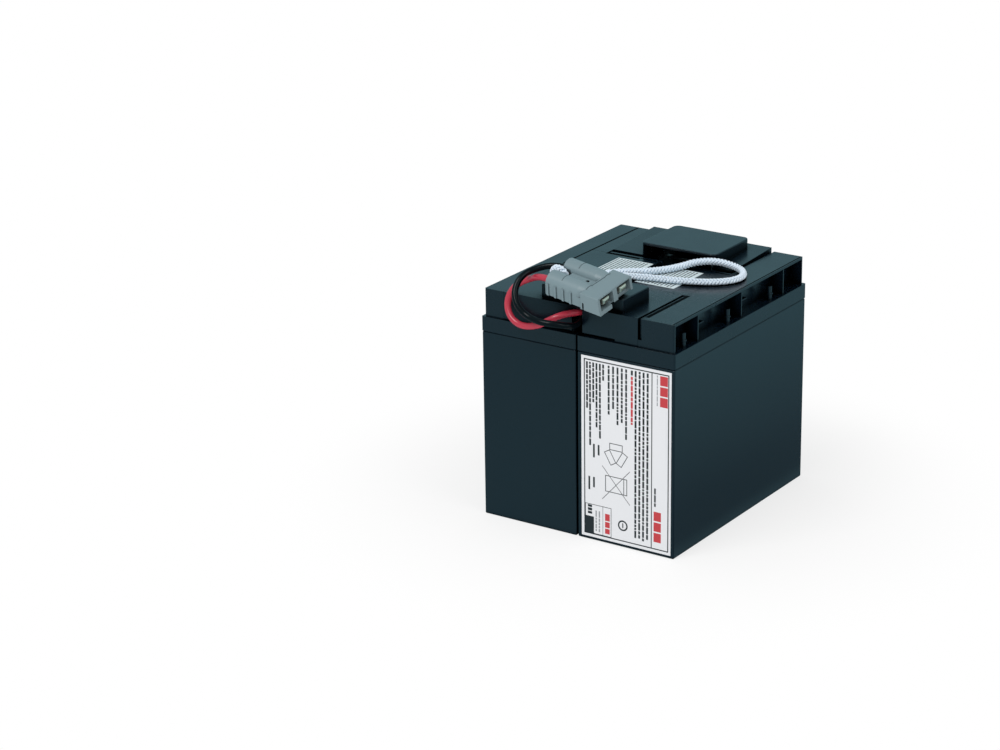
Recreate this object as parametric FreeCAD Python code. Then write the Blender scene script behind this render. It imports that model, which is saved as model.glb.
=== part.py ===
# UPS battery cartridge: two sealed 12 V lead-acid batteries joined side by side,
# with moulded terminal covers, a two-pole power connector on flying leads and a
# rope pull loop.
# Frame: X across the two batteries, Y from the front (label side) to the back,
# Z up. The origin is on the floor under the middle of the cartridge. Millimetres.
import FreeCAD, Part
import math
import os

V = FreeCAD.Vector
os.makedirs("parts", exist_ok=True)

# ---------------------------------------------------------------- batteries
battery_width = 77.0          # each battery, across X, at its lid skirt
battery_depth = 181.0         # along Y, at its lid skirt
battery_gap = 1.0             # between the two lid skirts
container_height = 136.0
skirt_height = 11.0           # the lid's band above the container
lid_rise = 20.0               # the lid above its band
skirt_proud = 0.2             # the band stands out from the container
seam_chamfer = 0.6            # along the weld line between container and band
container_wall = 2.5
container_floor = 3.0
container_rounding = 1.0
partition_thickness = 1.6
partition_drop = 6.2          # partitions end this far below the container's rim
cell_count = 6

# ---------------------------------------------------------------- lids
lid_inset = 1.8               # upper lid set in from the skirt, outside and ends
seam_inset = 3.4              # upper lid set in from the skirt at the seam
lid_corner = 1.2
deck_thickness = 2.5
lid_wall = 1.8
top_plate = 1.7               # thickness of the top plates and covers
pocket_depth = 10.4           # side pockets, in from the upper lid's face
pocket_back_wall = 1.5
front_rib_setback = 33.0      # from the front end
middle_rib_offset = 1.2       # behind the middle
rear_rib_setback = 30.3       # from the back end
pocket_rib_thickness = 1.0
pin_offset_y = -15.0          # each pocket pin stands this far before its rib
pin_setback = 2.75
pin_diameter = 3.6
pin_height = 10.0
pin_collar_diameter = 4.8
pin_collar_height = 4.2
pin_collar_thickness = 1.0
valve_share = 0.52            # valve line, in from the outer face, of the width
valve_boss_diameter = 9.0
valve_boss_height = 3.5
valve_vent_diameter = 4.0
low_wall = 4.0                # seam wall left standing beside the terminals

# front recess, middle bay, slot and rear recess, along Y
bay_front_reach = 15.75       # its edges, from the valves next to the middle
bay_back_reach = 9.75
rear_recess_clearance = 0.7   # from the recess to the rear cover's block
slot_rib_share = 0.275        # of the slot's width, from the bay to the recess
slot_rib_drop = 0.6
cross_wall_seat = 1.5         # the front cover's back edge rests on this much

# shoulders: inner edge of the fixed lid top, in from the battery's outer face
left_shoulders = {"front": 17.5, "bay": 17.5, "rear": 30.0}
right_shoulders = {"front": 27.0, "bay": 27.0, "rear": 25.0}
groove_width = 3.0            # open groove beside the covers, right battery only
groove_rib_thickness = 0.8
groove_rib_drop = 0.7
groove_sill = 5.0             # front wall left under the groove's mouth
engraved_line_width = 0.6
engraved_line_depth = 0.5

# ---------------------------------------------------------------- cell contents
plates_per_cell = 9
plate_thickness = 2.3
group_clearance = 0.5
group_headroom = 11.8         # plates end this far below the partitions' tops
group_bar_height = 5.0
strap_width = 8.0
strap_thickness = 4.0
strap_reach = 7.0             # each side of a partition
strap_line_outer = 20.0       # in from the battery's outer face
strap_line_inner = 52.0

# ---------------------------------------------------------------- terminals
terminal_share = 2 / 7        # terminal line, out from the middle, of the width
terminal_setback = 22.0       # from the battery's ends
post_diameter = 8.0
post_hole_clearance = 0.5
post_flange = 15.0
post_flange_thickness = 3.0
post_block = 12.0
post_rise = 10.5              # block top above the lid's deck
bolt_diameter = 5.0
bolt_clearance = 0.1
bolt_length = 12.0
bolt_head_flats = 8.0
bolt_head_height = 3.5
washer_diameter = 10.0
washer_thickness = 1.0
tongue_thickness = 1.5
tongue_diameter = 11.0
lug_barrel_diameter = 6.4
lug_barrel_start = 8.0
lug_barrel_length = 7.0
lug_turn = 30.0               # barrels swung this far forward of straight inwards
link_width = 12.0

# ---------------------------------------------------------------- covers
cover_clearance = 0.15
cover_wall = 1.8
front_block_left = -32.5
front_block_right = 33.5
front_block_near = 6.0        # its front and back faces, from the front end
front_block_far = 41.0
front_block_rise = 9.2        # above the lid's top
notch_left = -4.6
notch_right = 3.7
foot_slot_height = 2.0
foot_slot_left = -30.5
foot_slot_right = 29.5
rear_block_left = -25.0
rear_block_right = 36.0
rear_block_far = 57.3         # its front and back faces, from the back end
rear_block_near = 8.0
rear_block_rise = 9.3
rear_slope_rise = 2.4         # the rear cover's top climbs this much to the back
rear_front_rise = 0.3
rear_lip_depth = 4.0
rear_overhang = 0.8           # the rear cover reaches this far over its groove
block_wall = 2.0
front_block_corner = 2.5
rear_block_corner = 4.5
block_edge = 0.7

# ---------------------------------------------------------------- labels, pads
label_thickness = 0.15
front_label_left = 3.9
front_label_margin = 2.5      # to the battery's outer face
front_label_bottom = 2.3
front_label_top_margin = 2.0  # to the container's rim
left_top_label = {"x0": -33.9, "x1": -5.1}
right_top_label = {"x0": 4.2, "x1": 35.5}
top_label_front_gap = 8.2     # to the front and back edges of the middle bay
top_label_back_gap = 6.3
pad_length = 45.0
pad_height = 28.0
pad_spacing_y = 90.0
pad_low_level = 24.0
pad_high_level = 92.0

# ---------------------------------------------------------------- connector
plug_length = 47.6
plug_width = 36.6
plug_head_height = 12.7
plug_head_start = 31.0
plug_barrel_radius = 7.25
plug_pole_offset = 9.2
plug_taper_start = 26.0       # the barrels sink into the head from here
plug_taper_end = 36.0
plug_taper_radius = 5.4
plug_valley_height = 9.8      # floor between the barrels, behind the rope's hole
plug_valley_start = 8.6
plug_wire_bore = 8.6
plug_channel_width = 11.5
plug_channel_floor = 3.0
plug_channel_roof = 10.6
plug_channel_start = 17.5
plug_mouth_width = 14.0
plug_mouth_roof = 11.6
plug_lip_setback = 4.6
plug_lip_left = -5.0
plug_face_lean = 2.0          # the mating face leans back by this at its top
plug_hole_diameter = 2.6
plug_hole_u = 23.3
plug_rope_hole_diameter = 6.4
plug_rope_hole_u = 5.2
plug_rope_hole_floor = 3.5
plug_rope_slot_width = 5.8    # the notch it leaves by, between the barrels
plug_rope_slot_floor = 5.6
plug_ribs = 4
plug_rib_pitch = 6.4
plug_rib_start = 1.4
plug_rib_width = 1.6
plug_rib_proud = 0.8
plug_rib_height = 9.0
plug_latch_u = 32.4
plug_latch_width = 1.4
plug_latch_height = 5.5
plug_latch_depth = 1.2
contact_width = 7.0
contact_height = 4.4
contact_tip_start = 40.0
contact_tip_lift = 0.4        # the tip stands this much above the tongue
contact_tip_rounding = 1.8
contact_setback = 1.2
contact_barrel_diameter = 7.0
contact_barrel_start = 5.0
spring_width = 6.0
spring_thickness = 0.5
spring_start = 20.0
spring_end = 42.0
plug_yaw = -4.7
plug_pitch = 7.4
plug_roll = 12.3
plug_x = -14.2
plug_setback = 3.3            # from the front end
plug_seat_clearance = 0.3

# ---------------------------------------------------------------- cords
lead_diameter = 4.6
rope_diameter = 5.2
knot_diameter = 10.0
knot_length = 9.0
knot_chamfer = 1.6
rope_clearance = 0.1          # rope and knot above what they lie on

# ---------------------------------------------------------------- worked out
half_width = battery_width + battery_gap / 2
half_depth = battery_depth / 2
skirt_top = container_height + skirt_height
lid_top = skirt_top + lid_rise
plate_under = lid_top - top_plate
deck_under = skirt_top - deck_thickness
lid_end = half_depth - lid_inset
pocket_ribs_y = (front_rib_setback - half_depth, middle_rib_offset,
                 half_depth - rear_rib_setback)
group_top = container_height - partition_drop - group_headroom
terminal_x = terminal_share * battery_width
terminal_y = half_depth - terminal_setback
valve_x = half_width - valve_share * battery_width
front_block = {"x0": front_block_left, "x1": front_block_right,
               "y0": front_block_near - half_depth, "y1": front_block_far - half_depth,
               "corner": front_block_corner}
rear_block = {"x0": rear_block_left, "x1": rear_block_right,
              "y0": half_depth - rear_block_far, "y1": half_depth - rear_block_near,
              "corner": rear_block_corner}
plug_y = plug_setback - half_depth
seam_face = battery_width - seam_inset
pocket_back = lid_inset + pocket_depth
post_top = skirt_top + post_rise
tongue_top = post_top + tongue_thickness
lug_axis_z = post_top + lug_barrel_diameter / 2
cell_length = (battery_depth - 2 * skirt_proud - 2 * container_wall
               - (cell_count - 1) * partition_thickness) / cell_count
cell_pitch = cell_length + partition_thickness
bay_front_y = -cell_pitch / 2 - bay_front_reach
bay_back_y = cell_pitch / 2 + bay_back_reach
rear_recess_y = rear_block["y0"] - rear_recess_clearance
slot_rib_y = (bay_back_y + rear_recess_y) / 2
slot_rib_thickness = slot_rib_share * (rear_recess_y - bay_back_y)
sides = {"left": -1, "right": 1}
shoulders = {"left": left_shoulders, "right": right_shoulders}
beyond = 1.0                  # cutters run past the faces they cut by this much


def box(x0, x1, y0, y1, z0, z1):
    """A box between two opposite corners, given in any order along X."""
    low = min(x0, x1)
    return Part.makeBox(abs(x1 - x0), y1 - y0, z1 - z0, V(low, y0, z0))


def battery_box(side, in0, in1, y0, y1, z0, z1):
    """A box measured inwards from a battery's outer long face."""
    return box(side * (half_width - in0), side * (half_width - in1), y0, y1, z0, z1)


def pin(x, y, z0, z1, diameter):
    return Part.makeCylinder(diameter / 2, z1 - z0, V(x, y, z0))


def fillet_edges(shape, radius, wanted):
    edges = [edge for edge in shape.Edges if wanted(edge)]
    return shape.makeFillet(radius, edges)


def chamfer_edges(shape, size, wanted):
    edges = [edge for edge in shape.Edges if wanted(edge)]
    return shape.makeChamfer(size, edges)


def is_upright(edge):
    a, b = edge.Vertexes[0].Point, edge.Vertexes[-1].Point
    return math.hypot(a.x - b.x, a.y - b.y) < 1e-6


def lies_at(edge, z):
    bounds = edge.BoundBox
    return abs(bounds.ZMin - z) < 1e-6 and abs(bounds.ZMax - z) < 1e-6


def cell_centre(index):
    return (index - (cell_count - 1) / 2) * cell_pitch


def export(name, shape):
    if not shape.isValid():
        raise ValueError(name + " is not a valid shape")
    shape.exportStep("parts/" + name + ".step")


# ---------------------------------------------------------------- battery pieces
def container(side):
    """Open box with a floor and five cell partitions, one moulding."""
    body = battery_box(side, skirt_proud, battery_width - skirt_proud,
                       skirt_proud - half_depth, half_depth - skirt_proud,
                       0, container_height)
    body = fillet_edges(body, container_rounding, is_upright)
    body = fillet_edges(body, container_rounding, lambda e: lies_at(e, 0))
    body = chamfer_edges(body, seam_chamfer, lambda e: lies_at(e, container_height))
    inner = skirt_proud + container_wall
    rim = container_height - partition_drop
    for index in range(cell_count):
        middle = cell_centre(index)
        body = body.cut(battery_box(side, inner, battery_width - inner,
                                    middle - cell_length / 2, middle + cell_length / 2,
                                    container_floor, rim))
    hollow = half_depth - inner
    return body.cut(battery_box(side, inner, battery_width - inner, -hollow, hollow,
                                rim, container_height + beyond))


def plate_groups(side):
    """Six packs of plates, each hung from the bar that joins its plates."""
    inner = skirt_proud + container_wall + group_clearance
    groups = []
    for index in range(cell_count):
        start = cell_centre(index) - cell_length / 2 + group_clearance
        run = cell_length - 2 * group_clearance
        pitch = (run - plate_thickness) / (plates_per_cell - 1)
        group = battery_box(side, inner, battery_width - inner, start, start + run,
                            group_top - group_bar_height, group_top)
        for plate in range(plates_per_cell):
            y0 = start + plate * pitch
            group = group.fuse(battery_box(side, inner, battery_width - inner,
                                           y0, y0 + plate_thickness,
                                           container_floor, group_top))
        groups.append(group.removeSplitter())
    return Part.makeCompound(groups)


def cell_straps(side):
    """Lead bridges over the partitions, on alternate sides of the cells."""
    over = container_height - partition_drop
    straps = []
    for index in range(cell_count - 1):
        line = strap_line_inner if index % 2 else strap_line_outer
        middle = cell_centre(index) + cell_pitch / 2
        bridge = battery_box(side, line - strap_width / 2, line + strap_width / 2,
                             middle - strap_reach, middle + strap_reach,
                             over, over + strap_thickness)
        for end in (-1, 1):
            leg = middle + end * (strap_reach - strap_thickness / 2)
            bridge = bridge.fuse(battery_box(side, line - strap_width / 2,
                                             line + strap_width / 2,
                                             leg - strap_thickness / 2,
                                             leg + strap_thickness / 2,
                                             group_top, over))
        straps.append(bridge.removeSplitter())
    return Part.makeCompound(straps)


def lid(side, shoulder):
    """Skirt band, deck, shoulder with side pockets, bay and terminal recesses."""
    band = battery_box(side, 0, battery_width, -half_depth, half_depth,
                       container_height, skirt_top)
    band = fillet_edges(band, lid_corner, is_upright)
    band = chamfer_edges(band, seam_chamfer, lambda e: lies_at(e, container_height))
    upper = battery_box(side, lid_inset, seam_face, -lid_end, lid_end,
                        deck_under, lid_top)
    upper = fillet_edges(upper, lid_corner, is_upright)
    body = band.fuse(upper)
    inner = skirt_proud + container_wall
    body = body.cut(battery_box(side, inner, battery_width - inner,
                                inner - half_depth, half_depth - inner,
                                container_height - beyond, deck_under))

    # hollow behind the side pockets, open to the cells
    hollow_start = pocket_back + pocket_back_wall
    zones = (("front", lid_wall - lid_end, bay_front_y),
             ("bay", bay_front_y, bay_back_y + lid_wall),
             ("rear", bay_back_y + lid_wall, lid_end - lid_wall))
    for zone, y0, y1 in zones:
        body = body.cut(battery_box(side, hollow_start, shoulder[zone] - lid_wall,
                                    y0, y1, deck_under - beyond, plate_under))

    # terminal recesses, open above and at the seam
    seam_wall = seam_face - lid_wall
    open_top = lid_top + beyond
    for zone, y0, y1 in (("front", lid_wall - lid_end, bay_front_y - cross_wall_seat),
                         ("rear", bay_back_y, lid_end - lid_wall)):
        body = body.cut(battery_box(side, shoulder[zone], seam_wall, y0, y1,
                                    skirt_top, open_top))
        body = body.cut(battery_box(side, seam_wall - beyond, seam_face + beyond, y0, y1,
                                    skirt_top + low_wall, open_top))
    body = body.cut(battery_box(side, shoulder["front"], seam_face + beyond,
                                -lid_end - beyond, lid_wall - lid_end,
                                skirt_top, open_top))
    body = body.cut(battery_box(side, shoulder["rear"], seam_face + beyond,
                                lid_end - lid_wall, lid_end + beyond,
                                skirt_top, open_top))

    # valve bay with a seat for its cover
    body = body.cut(battery_box(side, shoulder["bay"] + cross_wall_seat, seam_wall,
                                bay_front_y + lid_wall, bay_back_y - lid_wall,
                                skirt_top, open_top))
    body = body.cut(battery_box(side, shoulder["bay"], seam_face + beyond,
                                bay_front_y, bay_back_y, plate_under, open_top))
    body = body.cut(battery_box(side, shoulder["front"], seam_face + beyond,
                                bay_front_y - cross_wall_seat, bay_front_y,
                                plate_under, open_top))

    # rib across the slot in front of the rear cover
    body = body.fuse(battery_box(side, shoulder["rear"], seam_face,
                                 slot_rib_y - slot_rib_thickness / 2,
                                 slot_rib_y + slot_rib_thickness / 2,
                                 skirt_top, lid_top - slot_rib_drop))

    # side pockets and the pins that stand in them
    walls = [lid_wall - lid_end]
    for rib in pocket_ribs_y:
        walls += [rib - pocket_rib_thickness / 2, rib + pocket_rib_thickness / 2]
    walls.append(lid_end - lid_wall)
    for y0, y1 in zip(walls[0::2], walls[1::2]):
        body = body.cut(battery_box(side, -beyond, pocket_back, y0, y1,
                                    skirt_top, plate_under))
    pin_x = side * (half_width - lid_inset - pin_setback)
    collar = skirt_top + pin_collar_height
    for rib in pocket_ribs_y:
        y = rib + pin_offset_y
        body = body.fuse(pin(pin_x, y, skirt_top, skirt_top + pin_height, pin_diameter))
        body = body.fuse(pin(pin_x, y, collar, collar + pin_collar_thickness,
                             pin_collar_diameter))

    # valve bosses, their vents and the holes for the terminal posts
    for index in range(cell_count):
        y = cell_centre(index)
        body = body.fuse(pin(side * valve_x, y, skirt_top, skirt_top + valve_boss_height,
                             valve_boss_diameter))
        body = body.cut(pin(side * valve_x, y, deck_under - beyond,
                            skirt_top + valve_boss_height + beyond, valve_vent_diameter))
    for end in (-1, 1):
        body = body.cut(pin(side * terminal_x, end * terminal_y, deck_under - beyond,
                            skirt_top + beyond, post_diameter + 2 * post_hole_clearance))
    return body


def groove_details(body, side, shoulder):
    """The right lid's open grooves keep a thin rib and a sill at the front."""
    middle = shoulder["front"] + groove_width / 2
    body = body.fuse(battery_box(side, middle - groove_rib_thickness / 2,
                                 middle + groove_rib_thickness / 2,
                                 lid_wall - lid_end, bay_front_y,
                                 skirt_top, lid_top - groove_rib_drop))
    body = body.fuse(battery_box(side, shoulder["front"] - beyond,
                                 shoulder["front"] + groove_width - cover_clearance,
                                 -lid_end, lid_wall - lid_end,
                                 skirt_top, skirt_top + groove_sill))
    middle = shoulder["rear"] + groove_width / 2
    body = body.fuse(battery_box(side, middle - groove_rib_thickness / 2,
                                 middle + groove_rib_thickness / 2,
                                 rear_recess_y, lid_end - lid_wall,
                                 skirt_top, lid_top - groove_rib_drop))
    return body.removeSplitter()


def engraved_line(body, side, shoulder):
    """The left lid's fine line beside the rear cover."""
    line = shoulder["bay"]
    return body.cut(battery_box(side, line, line + engraved_line_width,
                                bay_back_y, lid_end - lid_wall,
                                lid_top - engraved_line_depth, lid_top + beyond))


def bay_cover(side, shoulder):
    return battery_box(side, shoulder["bay"] + cover_clearance, seam_face,
                       bay_front_y, bay_back_y - cover_clearance, plate_under, lid_top)


def valve_caps(side):
    """Rubber cups pressed over the valve bosses."""
    x = side * valve_x
    boss_top = skirt_top + valve_boss_height
    caps = []
    for index in range(cell_count):
        y = cell_centre(index)
        cap = pin(x, y, skirt_top, boss_top + lid_wall, valve_boss_diameter + 2 * lid_wall)
        bore = pin(x, y, skirt_top - beyond, boss_top, valve_boss_diameter)
        cap = cap.cut(bore)
        caps.append(cap)
    return Part.makeCompound(caps)


def terminal(x, y):
    """Lead alloy post with a flange on the deck and a threaded block on top."""
    post = pin(x, y, group_top, skirt_top + post_flange_thickness, post_diameter)
    half = post_flange / 2
    post = post.fuse(box(x - half, x + half, y - half, y + half,
                         skirt_top, skirt_top + post_flange_thickness))
    half = post_block / 2
    post = post.fuse(box(x - half, x + half, y - half, y + half, skirt_top, post_top))
    post = post.cut(pin(x, y, tongue_top - bolt_length - beyond, post_top + beyond,
                        bolt_diameter))
    return post.removeSplitter()


# ---------------------------------------------------------------- fasteners, links
def bolt(x, y):
    under_head = tongue_top + washer_thickness
    corner = bolt_head_flats / math.sqrt(3)
    points = [V(x + corner * math.cos(math.radians(60 * k)),
                y + corner * math.sin(math.radians(60 * k)), under_head) for k in range(6)]
    outline = Part.makePolygon(points + points[:1])
    head = Part.Face(outline).extrude(V(0, 0, bolt_head_height))
    shank = pin(x, y, under_head - bolt_length, under_head,
                bolt_diameter - 2 * bolt_clearance)
    return head.fuse(shank)


def washer(x, y):
    disc = pin(x, y, tongue_top, tongue_top + washer_thickness, washer_diameter)
    return disc.cut(pin(x, y, tongue_top - beyond, tongue_top + 2 * washer_thickness,
                        bolt_diameter + 2 * bolt_clearance))


def lug(side):
    """Crimped ring terminal whose barrel points in and forward, at the notch."""
    half = lug_barrel_diameter / 2
    body = pin(0, 0, post_top, tongue_top, tongue_diameter)
    body = body.fuse(box(0, lug_barrel_start + beyond, -half, half, post_top, tongue_top))
    body = body.fuse(Part.makeCylinder(half, lug_barrel_length,
                                       V(lug_barrel_start, 0, lug_axis_z), V(1, 0, 0)))
    body = body.cut(pin(0, 0, post_top - beyond, tongue_top + beyond,
                        bolt_diameter + 2 * bolt_clearance))
    turn = lug_turn + 180 if side > 0 else -lug_turn
    body.Placement = FreeCAD.Placement(V(side * terminal_x, -terminal_y, 0),
                                       FreeCAD.Rotation(V(0, 0, 1), turn))
    return body


def link_bar():
    """Flat bar that joins the two rear terminals in series."""
    half = link_width / 2
    bar = box(-terminal_x, terminal_x, terminal_y - half, terminal_y + half,
              post_top, tongue_top)
    for x in (-terminal_x, terminal_x):
        bar = bar.fuse(pin(x, terminal_y, post_top, tongue_top, link_width))
    bar = bar.removeSplitter()
    for x in (-terminal_x, terminal_x):
        bar = bar.cut(pin(x, terminal_y, post_top - beyond, tongue_top + beyond,
                          bolt_diameter + 2 * bolt_clearance))
    return bar


# ---------------------------------------------------------------- covers
def hood(block, rise):
    """Raised block of a cover, with rounded corners and a soft top edge."""
    top = lid_top + rise
    body = box(block["x0"], block["x1"], block["y0"], block["y1"], plate_under, top)
    body = fillet_edges(body, block["corner"], is_upright)
    return fillet_edges(body, block_edge, lambda e: lies_at(e, top))


def hood_hollow(block, rise, y0):
    return box(block["x0"] + block_wall, block["x1"] - block_wall,
               y0, block["y1"] - block_wall,
               plate_under - beyond, lid_top + rise - cover_wall)


def front_cover():
    x0 = -(half_width - left_shoulders["front"] - cover_clearance)
    x1 = half_width - right_shoulders["front"] - groove_width
    back = bay_front_y - cover_clearance
    body = box(x0, x1, -lid_end, back, plate_under, lid_top)
    body = body.fuse(box(x0, x1, -lid_end, cover_wall - lid_end, skirt_top, lid_top))
    body = body.fuse(hood(front_block, front_block_rise))
    body = body.cut(hood_hollow(front_block, front_block_rise,
                                front_block["y0"] + block_wall))
    for a, b in ((foot_slot_left, notch_left), (notch_right, foot_slot_right)):
        body = body.cut(box(a, b, -lid_end - beyond, cover_wall - lid_end + beyond,
                            skirt_top - beyond, skirt_top + foot_slot_height))
    body = body.cut(box(notch_left, notch_right, -lid_end - beyond,
                        cover_wall - lid_end + beyond, skirt_top - beyond, plate_under))
    return body.removeSplitter()


def rear_cover():
    x0 = -(half_width - left_shoulders["rear"] - cover_clearance)
    x1 = half_width - right_shoulders["rear"] - groove_width + rear_overhang
    front, back = rear_recess_y, lid_end
    outline = Part.makePolygon([V(x0, front, plate_under),
                                V(x0, front, lid_top + rear_front_rise),
                                V(x0, back, lid_top + rear_front_rise + rear_slope_rise),
                                V(x0, back, plate_under),
                                V(x0, front, plate_under)])
    body = Part.Face(outline).extrude(V(x1 - x0, 0, 0))
    body = body.fuse(box(x0, x1, back - cover_wall, back, skirt_top, lid_top))
    body = body.fuse(box(x0, x1, front, front + cover_wall,
                         plate_under - rear_lip_depth, plate_under))
    body = body.fuse(hood(rear_block, rear_block_rise))
    body = body.cut(hood_hollow(rear_block, rear_block_rise, front - beyond))
    body = body.cut(box(rear_block["x0"] + block_wall, rear_block["x1"] - block_wall,
                        front - beyond, front + cover_wall,
                        plate_under - rear_lip_depth - beyond, lid_top))
    return body.removeSplitter()


# ---------------------------------------------------------------- labels and pads
def pads():
    """Double-sided foam tape that holds the two containers together."""
    half_gap = battery_gap / 2 + skirt_proud
    strips = []
    for level in (pad_low_level, pad_high_level):
        for end in (-1, 1):
            middle = end * pad_spacing_y / 2
            strips.append(box(-half_gap, half_gap, middle - pad_length / 2,
                              middle + pad_length / 2, level, level + pad_height))
    return Part.makeCompound(strips)


def container_front_label():
    face = skirt_proud - half_depth
    return box(front_label_left, half_width - front_label_margin,
               face - label_thickness, face,
               front_label_bottom, container_height - front_label_top_margin)


def top_label(place):
    return box(place["x0"], place["x1"], bay_front_y + top_label_front_gap,
               bay_back_y - top_label_back_gap, lid_top, lid_top + label_thickness)


# ---------------------------------------------------------------- connector
# Its own frame: u from the wire end to the mating face, v across the poles, w up.
plug_turn = FreeCAD.Rotation(plug_yaw, plug_pitch, plug_roll)
plug_up = plug_turn.multVec(V(0, 0, 1))
seat_edge = V(front_block["x1"] - plug_lip_setback, front_block["y0"],
              lid_top + front_block_rise)
plug_z = (seat_edge.z + (plug_up.x * (seat_edge.x - plug_x)
                         + plug_up.y * (seat_edge.y - plug_y)
                         + plug_seat_clearance) / plug_up.z)
plug_place = FreeCAD.Placement(V(plug_x, plug_y, plug_z), plug_turn)


def plug_point(u, v, w):
    return plug_place.multVec(V(u, v, w))


def placed(shape):
    shape.Placement = plug_place
    return shape


def plug_housing():
    half = plug_width / 2
    side = plug_pole_offset + plug_barrel_radius
    body = box(0, plug_head_start + beyond, -side, side, 0, plug_barrel_radius)
    body = body.fuse(box(plug_valley_start, plug_head_start,
                         -plug_pole_offset, plug_pole_offset, 0, plug_valley_height))
    head = box(plug_head_start, plug_length, -half, half, 0, plug_head_height)
    head = fillet_edges(head, block_edge, lambda e: e.BoundBox.XLength > beyond)
    lean = Part.makePolygon([V(plug_length, -half - beyond, 0),
                             V(plug_length + beyond, -half - beyond, 0),
                             V(plug_length + beyond, -half - beyond, plug_head_height),
                             V(plug_length - plug_face_lean, -half - beyond,
                               plug_head_height),
                             V(plug_length, -half - beyond, 0)])
    head = head.cut(Part.Face(lean).extrude(V(0, plug_width + 2 * beyond, 0)))
    body = body.fuse(head)
    for pole in (-1, 1):
        v = pole * plug_pole_offset
        barrel = Part.makeCylinder(plug_barrel_radius, plug_taper_start,
                                   V(0, v, plug_barrel_radius), V(1, 0, 0))
        taper = Part.makeCone(plug_barrel_radius, plug_taper_radius,
                              plug_taper_end - plug_taper_start,
                              V(plug_taper_start, v, plug_barrel_radius), V(1, 0, 0))
        body = body.fuse(barrel).fuse(taper)
        flank = side * pole
        for rib in range(plug_ribs):
            u = plug_rib_start + rib * plug_rib_pitch
            y0, y1 = sorted((flank - pole * beyond, flank + pole * plug_rib_proud))
            body = body.fuse(box(u, u + plug_rib_width, y0, y1, 0, plug_rib_height))
    body = body.removeSplitter()
    for pole in (-1, 1):
        v = pole * plug_pole_offset
        bore = Part.makeCylinder(plug_wire_bore / 2, plug_channel_start + 2 * beyond,
                                 V(-beyond, v, plug_barrel_radius), V(1, 0, 0))
        body = body.cut(bore)
        body = body.cut(box(plug_channel_start, plug_head_start + beyond,
                            v - plug_channel_width / 2, v + plug_channel_width / 2,
                            plug_channel_floor, plug_channel_roof))
        body = body.cut(box(plug_head_start + beyond, plug_length + beyond,
                            v - plug_mouth_width / 2, v + plug_mouth_width / 2,
                            plug_channel_floor, plug_mouth_roof))
        y0, y1 = sorted((pole * half, pole * (half - plug_latch_depth)))
        body = body.cut(box(plug_latch_u, plug_latch_u + plug_latch_width, y0, y1,
                            0, plug_latch_height))
    body = body.cut(box(plug_length - plug_lip_setback, plug_length + beyond,
                        plug_lip_left, half + beyond, -beyond, plug_channel_floor))
    body = body.cut(pin(plug_hole_u, 0, -beyond, plug_head_height, plug_hole_diameter))
    body = body.cut(pin(plug_rope_hole_u, 0, plug_rope_hole_floor, plug_head_height,
                        plug_rope_hole_diameter))
    body = body.cut(box(-beyond, plug_rope_hole_u, -plug_rope_slot_width / 2,
                        plug_rope_slot_width / 2, plug_rope_slot_floor,
                        plug_head_height))
    return placed(body)


def plug_contacts():
    """Silver-plated tongues, each with a crimp barrel for its lead."""
    pieces = []
    for pole in (-1, 1):
        v = pole * plug_pole_offset
        barrel = Part.makeCylinder(contact_barrel_diameter / 2,
                                   plug_channel_start - contact_barrel_start + beyond,
                                   V(contact_barrel_start, v, plug_barrel_radius),
                                   V(1, 0, 0))
        low = plug_barrel_radius - contact_height / 2
        end = plug_length - contact_setback
        tongue = box(plug_channel_start, contact_tip_start + beyond,
                     v - contact_width / 2, v + contact_width / 2,
                     low, low + contact_height)
        tip = box(contact_tip_start, end, v - contact_width / 2, v + contact_width / 2,
                  low + contact_tip_lift, low + contact_tip_lift + contact_height)
        tip = fillet_edges(tip, contact_tip_rounding,
                           lambda e: abs(e.BoundBox.XMin - end) < 1e-6)
        pieces.append(barrel.fuse(tongue).fuse(tip).removeSplitter())
    return placed(Part.makeCompound(pieces))


def plug_springs():
    """Bowed steel strips that press each contact up from the channel floor."""
    rise = plug_barrel_radius - contact_height / 2 - plug_channel_floor
    middle = (spring_start + spring_end) / 2
    low, high = plug_channel_floor, plug_channel_floor + rise
    outer = Part.Arc(V(spring_start, 0, low + spring_thickness), V(middle, 0, high),
                     V(spring_end, 0, low + spring_thickness)).toShape()
    inner = Part.Arc(V(spring_end, 0, low), V(middle, 0, high - spring_thickness),
                     V(spring_start, 0, low)).toShape()
    ends = [Part.makeLine(V(spring_end, 0, low + spring_thickness), V(spring_end, 0, low)),
            Part.makeLine(V(spring_start, 0, low), V(spring_start, 0, low + spring_thickness))]
    outline = Part.Wire(Part.__sortEdges__([outer, inner] + ends))
    pieces = []
    for pole in (-1, 1):
        strip = Part.Face(outline).extrude(V(0, spring_width, 0))
        strip.translate(V(0, pole * plug_pole_offset - spring_width / 2, 0))
        pieces.append(strip)
    return placed(Part.makeCompound(pieces))


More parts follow.
